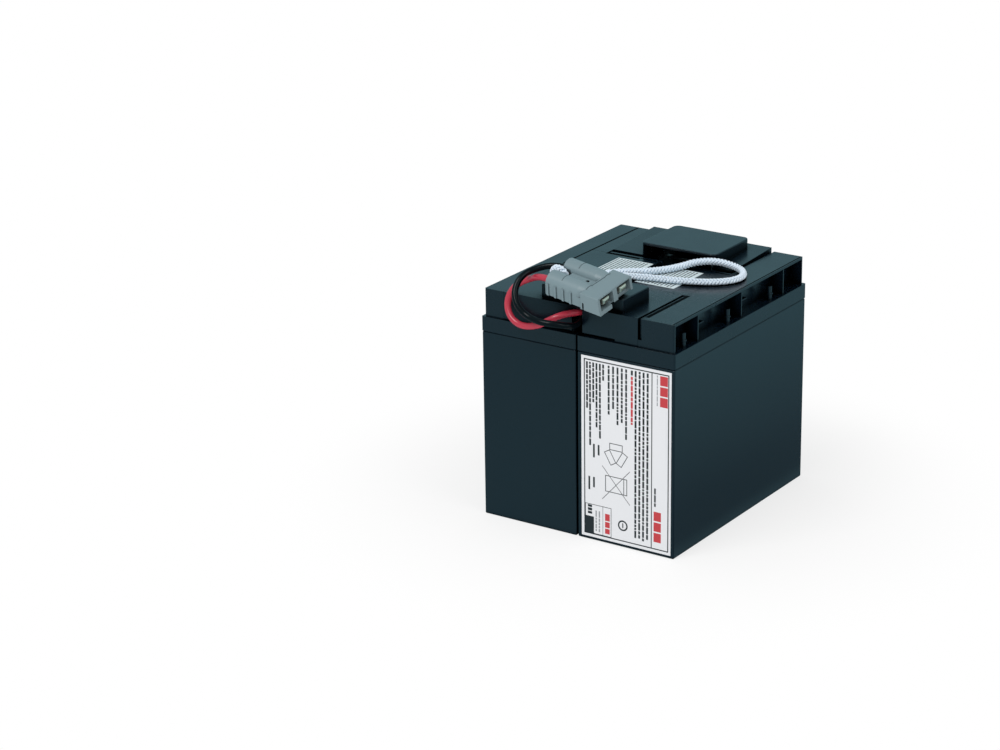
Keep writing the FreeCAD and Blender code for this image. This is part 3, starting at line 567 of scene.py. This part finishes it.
def printed(name, marks, finish, plane):
    """One piece made of many thin plates, with sizes in millimetres on a plane."""
    sheet = bmesh.new()
    for x, y, wide, tall, turn in marks:
        place = (plane @ Matrix.Translation((x * MM, y * MM, 0))
                 @ Matrix.Rotation(math.radians(turn), 4, "Z")
                 @ Matrix.Diagonal((wide * MM, tall * MM, INK * MM, 1)))
        bmesh.ops.create_cube(sheet, size=1.0, matrix=place)
    made = shown(name, mesh_of(name, sheet, finish))
    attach(made, "root")
    print(name, "has", len(marks), "marks")


# %% Rows of bars and frames
ink_rng = random.Random(11)


def broken_row(x, y_high, y_low, width, shortest=1.4, longest=5.5, gap=0.6):
    """A row of bars of uneven length, as a line of small print looks from afar."""
    bars = []
    y = y_high
    while y - shortest > y_low:
        run = min(ink_rng.uniform(shortest, longest), y - y_low)
        bars.append(mark(x - width / 2, x + width / 2, y - run, y))
        y -= run + gap
    return bars


def outline(x0, x1, y0, y1, line):
    """A rectangular frame drawn with a line of this width."""
    return [mark(x0, x1, y1 - line, y1), mark(x0, x1, y0, y0 + line),
            mark(x0, x0 + line, y0, y1), mark(x1 - line, x1, y0, y1)]


print("bars in a frame:", len(outline(0, 1, 0, 1, 0.1)))

# %% [markdown]
# The front label reads from top to bottom, so its rows run down the case. The
# rows stand in groups: four long ones, then six and five short ones. Below them
# are a triangle of three frames, a crossed box, a ring and a framed field.

# %% Frame and rows of the front label
LABEL_FRAME, LABEL_FRAME_LINE = (6.0, 73.3, 4.3, 132.0), 0.8
LABEL_DIVIDER = (59.5, 60.2, 4.8, 131.5)
ROW_HEADING = (43.3, 44.9, 126.6, 130.0)
LONG_ROWS = (56.5, 53.3, 50.2, 47.1)
LONG_ROW_HIGH, LONG_ROW_LOW, LONG_ROW_WIDTH = 130.3, 8.2, 1.5
SHORT_ROWS = ((39.6, 78.5), (36.2, 89.6), (32.8, 88.8), (29.3, 99.7),
              (25.8, 95.0), (21.4, 118.5), (18.8, 75.4), (16.1, 83.6),
              (13.5, 101.4), (10.9, 69.8), (8.5, 96.5))
SHORT_ROW_HIGH, SHORT_ROW_WIDTH = 130.0, 1.45
black_marks = outline(*LABEL_FRAME, LABEL_FRAME_LINE) + [mark(*LABEL_DIVIDER)]
for x in LONG_ROWS:
    black_marks += broken_row(x, LONG_ROW_HIGH, LONG_ROW_LOW, LONG_ROW_WIDTH)
for x, y_low in SHORT_ROWS:
    black_marks += broken_row(x, SHORT_ROW_HIGH, y_low, SHORT_ROW_WIDTH)
black_marks += [mark(*ROW_HEADING)]
black_marks += broken_row(x=62.6, y_high=49.0, y_low=35.0, width=1.3)
print("marks in rows:", len(black_marks))

# %% Signs of the front label
FINE_LINE = 0.5
TRIANGLE_MIDDLE = Vector((31.6, 66.7))
TRIANGLE_RADIUS = 5.4
FRAME_WIDE, FRAME_TALL = 10.4, 4.6
FRAME_HALF_ALONG, FRAME_HALF_OUT = 5.0, 2.3
BOX, BOX_LID_LINE = (23.0, 40.5, 38.5, 50.5), (37.6, 38.1, 38.5, 50.5)
BOX_MIDDLE = (31.6, 44.5)
CROSS_LENGTH, CROSS_LINE, CROSS_TURN = 33.0, 0.4, 42
for turn in (0, 120, 240):
    angle = math.radians(turn)
    along = Vector((math.cos(angle), math.sin(angle)))
    out = Vector((-math.sin(angle), math.cos(angle)))
    middle = TRIANGLE_MIDDLE + out * TRIANGLE_RADIUS
    for shift, wide, tall in (
            (out * FRAME_HALF_OUT, FRAME_WIDE, FINE_LINE),
            (out * -FRAME_HALF_OUT, FRAME_WIDE, FINE_LINE),
            (along * FRAME_HALF_ALONG, FINE_LINE, FRAME_TALL),
            (along * -FRAME_HALF_ALONG, FINE_LINE, FRAME_TALL)):
        black_marks.append((*(middle + shift), wide, tall, turn))
black_marks += outline(*BOX, FINE_LINE) + [mark(*BOX_LID_LINE)]
for turn in (CROSS_TURN, -CROSS_TURN):
    black_marks.append((*BOX_MIDDLE, CROSS_LINE, CROSS_LENGTH, turn))
print("marks with the signs:", len(black_marks))

# %% Small bars and the framed field of the front label
SMALL_BARS = ((13.2, 14.6, 61.4, 71.2), (17.0, 18.4, 63.6, 71.2),
              (9.4, 10.8, 37.2, 47.0), (13.2, 14.6, 39.4, 47.0))
FIELD, FIELD_LINE = (6.8, 27.9, 5.0, 26.7), 0.4
FIELD_DIVIDER = (20.9, 21.2, 5.0, 26.7)
FIELD_BLOCK = (7.2, 13.8, 5.4, 17.5)
BAR_IN_RING = (36.7, 37.5, 14.2, 17.8)
black_marks += [mark(*bar) for bar in SMALL_BARS]
black_marks += outline(*FIELD, FIELD_LINE)
black_marks += [mark(*FIELD_DIVIDER), mark(*FIELD_BLOCK)]
black_marks += broken_row(x=10.6, y_high=26.0, y_low=18.2, width=3.4,
                          shortest=1.6, longest=2.4)
black_marks += [mark(*BAR_IN_RING)]
printed("front_label_black_marks", black_marks, print_black, ON_FRONT)

# %% Red and grey marks of the front label
RED_FIELDS = (((66.2, 72.2), ((123.6, 130.4), (116.2, 122.6), (108.4, 115.2))),
              ((61.6, 67.4), ((25.3, 32.0), (17.6, 24.2), (9.8, 16.5))),
              ((22.8, 26.6), ((16.6, 21.8), (11.6, 15.8), (7.0, 10.8))))
GREY_ROWS = (15.6, 18.2)
red_marks = broken_row(x=44.1, y_high=125.6, y_low=91.2, width=1.6, gap=0.5)
for sides, heights in RED_FIELDS:
    red_marks += [mark(*sides, *ends) for ends in heights]
printed("front_label_red_marks", red_marks, print_red, ON_FRONT)
grey_marks = broken_row(x=64.0, y_high=130.4, y_low=108.4, width=0.7)
for x in GREY_ROWS:
    grey_marks += broken_row(x, y_high=22.5, y_low=7.0, width=1.0)
printed("front_label_grey_marks", grey_marks, print_grey, ON_FRONT)

# %% [markdown]
# The ring is a flat band round a small bar. It is one short edge, as long as the
# band is wide, spun once round the ring's middle.

# %% The ring on the front label
RING_RADIUS = 3.9
RING_INNER_SHARE = 0.72
RING_MIDDLE = (37.1, 16.0, INK / 2)
band = bmesh.new()
ends = [band.verts.new((share * RING_RADIUS * MM, 0, 0))
        for share in (RING_INNER_SHARE, 1)]
bmesh.ops.spin(band, geom=[*ends, band.edges.new(ends)], axis=(0, 0, 1),
               angle=2 * math.pi, steps=40, use_merge=True)
bmesh.ops.transform(band, verts=band.verts,
                    matrix=ON_FRONT @ Matrix.Translation(metres(RING_MIDDLE)))
ring = shown("front_label_ring", mesh_of("front_label_ring", band, print_black))
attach(ring, "root")
print("the ring is", 2 * RING_RADIUS, "mm across")

# %% [markdown]
# The two labels on the lids carry close rows of very small print that run from
# front to back. They are drawn coarser than the real print, so that the rows still
# show from a metre away.

# %% Marks on the lids' labels
TOP_ROW_PITCH, TOP_ROW_WIDTH = 2.6, 1.1
TOP_END_MARGIN = 1.5
TOP_FIRST_MARGIN, TOP_LAST_MARGIN = 1.6, 1.2
top_marks = []
for node in ("left_top_label", "right_top_label"):
    low, high = (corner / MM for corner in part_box(node))
    x = low.x + TOP_FIRST_MARGIN
    while x < high.x - TOP_LAST_MARGIN:
        top_marks += broken_row(x, high.y - TOP_END_MARGIN, low.y + TOP_END_MARGIN,
                                TOP_ROW_WIDTH, shortest=0.9, longest=4.0, gap=0.5)
        x += TOP_ROW_PITCH
printed("top_label_marks", top_marks, print_black, ON_TOP_LABEL)

# %% [markdown]
# ## Dark lines on the lids
# On the left lid a narrow groove runs on behind the bay cover, in line with the
# cover's edge, and the gap at the cover's back edge lies in shade. On the right
# lid a second groove lies beside the open one, and a fine step runs along the
# outer edge. Seen from a metre away each is a black line of shade, so each is
# painted shade: a thin black plate on the lid's flat top.

# %% Dark lines of the lids
# These near-black plates are painted shade of the grooves, the gap and the step.
groove_painted_shade = finish_of("groove shadow", "010203", 0.8, grain=0.3, shine=0.05)
long_groove = mark(-61.0, -59.5, -30.0, 88.4)
cover_gap = mark(-47.5, -20.0, 22.6, 24.4)
second_groove = mark(50.6, 53.4, -84.0, -30.0)
outer_step = mark(74.0, 75.0, -88.0, 88.0)
printed("lid_dark_lines", [long_groove, cover_gap, second_groove, outer_step],
        groove_painted_shade, ON_LID)

# %% [markdown]
# The camera stands well back with a long lens, as a product picture is taken.

# %% Camera
CAMERA_PLACE = (0.97433, -1.60311, 0.76864)
CAMERA_AIM = Vector((-0.53188, 0.77575, -0.33960))
CAMERA_ROLL = -0.834
LENS = 101.546
camera = shown("camera", bpy.data.cameras.new("camera"))
scene.camera = camera
camera.data.sensor_width = 36.0
camera.data.lens = LENS
camera.data.clip_end = 20.0
camera.location = CAMERA_PLACE
camera.rotation_mode = "QUATERNION"
camera.rotation_quaternion = (
    CAMERA_AIM.to_track_quat("-Z", "Y")
    @ Quaternion((0, 0, 1), math.radians(CAMERA_ROLL)))
print("camera distance in metres:", round(Vector(CAMERA_PLACE).length, 2))

# %% [markdown]
# ## Table and light
# The object stands in a white sweep. The table is white near the object, where it
# takes a faint soft shadow, and turns into plain white light further out, so it
# has no edge. Glossy surfaces mirror a dimmer and colder room than the eye sees,
# as they do in a studio where grey screens stand round the object. To the right
# of the cartridge the table is mirrored darker near the case, so the right side
# darkens towards its foot. Each START and END is a distance from the middle of the
# table in metres, and the change between two tones lies between them.

# %% Finish of the table
ROOM = linear("8BB6C0")
ROOM_AT_RIGHT = linear("84B5C0")
ROOM_AT_FOOT = linear("617C84")
FADE_START, FADE_END, LEAST_GLOW = 0.12, 0.28, 0.7
RIGHT_START, RIGHT_END = 0.07, 0.09
FOOT_START, FOOT_END = 0.12, 0.3
table_top = bpy.data.materials.new("white table")
table_top.use_nodes = True
tree = table_top.node_tree
tree.nodes.clear()
place = add(tree, "ShaderNodeTexCoord").outputs["Object"]
far = add(tree, "ShaderNodeVectorMath", {"operation": "LENGTH"}, _0=place)
fade = add(tree, "ShaderNodeMapRange", {"interpolation_type": "SMOOTHSTEP"},
           Value=far.outputs["Value"], From_Min=FADE_START, From_Max=FADE_END,
           To_Min=LEAST_GLOW)
mirrored = add(tree, "ShaderNodeLightPath").outputs["Is Glossy Ray"]
split = add(tree, "ShaderNodeSeparateXYZ", Vector=place)
beyond = add(tree, "ShaderNodeMapRange", Value=split.outputs["X"],
             From_Min=FOOT_START, From_Max=FOOT_END)
at_right = add(tree, "ShaderNodeMix", {"data_type": "RGBA"},
               _0=beyond.outputs["Result"], _6=ROOM_AT_FOOT, _7=ROOM_AT_RIGHT)
right = add(tree, "ShaderNodeMapRange", Value=split.outputs["X"],
            From_Min=RIGHT_START, From_Max=RIGHT_END)
dim = add(tree, "ShaderNodeMix", {"data_type": "RGBA"}, _0=right.outputs["Result"],
          _6=ROOM, _7=at_right.outputs[2])
tone = add(tree, "ShaderNodeMix", {"data_type": "RGBA"}, _0=mirrored, _6=WHITE,
           _7=dim.outputs[2])
matt = add(tree, "ShaderNodeBsdfDiffuse", Color=tone.outputs[2])
glow = add(tree, "ShaderNodeEmission", Color=tone.outputs[2], Strength=1.0)
blend = add(tree, "ShaderNodeMixShader", _0=fade.outputs["Result"],
            _1=matt.outputs[0], _2=glow.outputs[0])
add(tree, "ShaderNodeOutputMaterial", Surface=blend.outputs[0])
print("nodes in the table's finish:", len(tree.nodes))

# %% The table
TABLE_RADIUS = 3.0
disc = bmesh.new()
bmesh.ops.create_circle(disc, cap_ends=True, segments=96, radius=TABLE_RADIUS)
table = shown("table", mesh_of("table", disc, table_top))
print("the table is", 2 * TABLE_RADIUS, "metres across")

# %% [markdown]
# The sky is white to the eye and weaker as a lamp, so the large lamps give the
# light its direction. A glossy surface mirrors the cold room in place of it.

# %% The sky
SKY_AS_LAMP = 0.55
sky = bpy.data.worlds.new("white sky")
scene.world = sky
sky.use_nodes = True
tree = sky.node_tree
tree.nodes.clear()
ray = add(tree, "ShaderNodeLightPath").outputs
seen = add(tree, "ShaderNodeMath", {"operation": "MAXIMUM"},
           _0=ray["Is Camera Ray"], _1=ray["Is Glossy Ray"])
seen = add(tree, "ShaderNodeMath", {"operation": "MAXIMUM"}, _0=seen.outputs[0],
           _1=ray["Is Transmission Ray"])
strength = add(tree, "ShaderNodeMapRange", Value=seen.outputs[0],
               To_Min=SKY_AS_LAMP, To_Max=1.0)
cold = add(tree, "ShaderNodeMix", {"data_type": "RGBA"}, _0=ray["Is Glossy Ray"],
           _6=WHITE, _7=ROOM)
light = add(tree, "ShaderNodeBackground", Color=cold.outputs[2],
            Strength=strength.outputs["Result"])
add(tree, "ShaderNodeOutputWorld", Surface=light.outputs[0])
print("the sky is", SKY_AS_LAMP, "as strong as a lamp as it is to the eye")

# %% [markdown]
# Two large square lamps make soft shadows. The key lamp stands high in front, a
# little to the left. The fill lamp stands lower, at the right, so that side isn't
# black.

# %% The lamps
LAMP_TARGET = Vector((0, 0, 0.08))


def lamp(name, azimuth, elevation, distance, size, power):
    """A large square lamp that faces the middle of the cartridge."""
    data = bpy.data.lights.new(name, "AREA")
    data.size = size
    data.energy = power
    made = shown(name, data)
    a, e = math.radians(azimuth), math.radians(elevation)
    out = Vector((math.sin(a) * math.cos(e), -math.cos(a) * math.cos(e),
                  math.sin(e)))
    made.location = LAMP_TARGET + out * distance
    made.rotation_mode = "QUATERNION"
    made.rotation_quaternion = (-out).to_track_quat("-Z", "Y")
    return made


key = lamp("key_lamp", azimuth=-15, elevation=50, distance=1.8, size=0.8,
           power=12.0)
fill = lamp("fill_lamp", azimuth=80, elevation=35, distance=1.8, size=1.2,
            power=6.5)
scene.view_settings.view_transform = "Standard"
print("lamp watts:", key.data.energy, fill.data.energy)
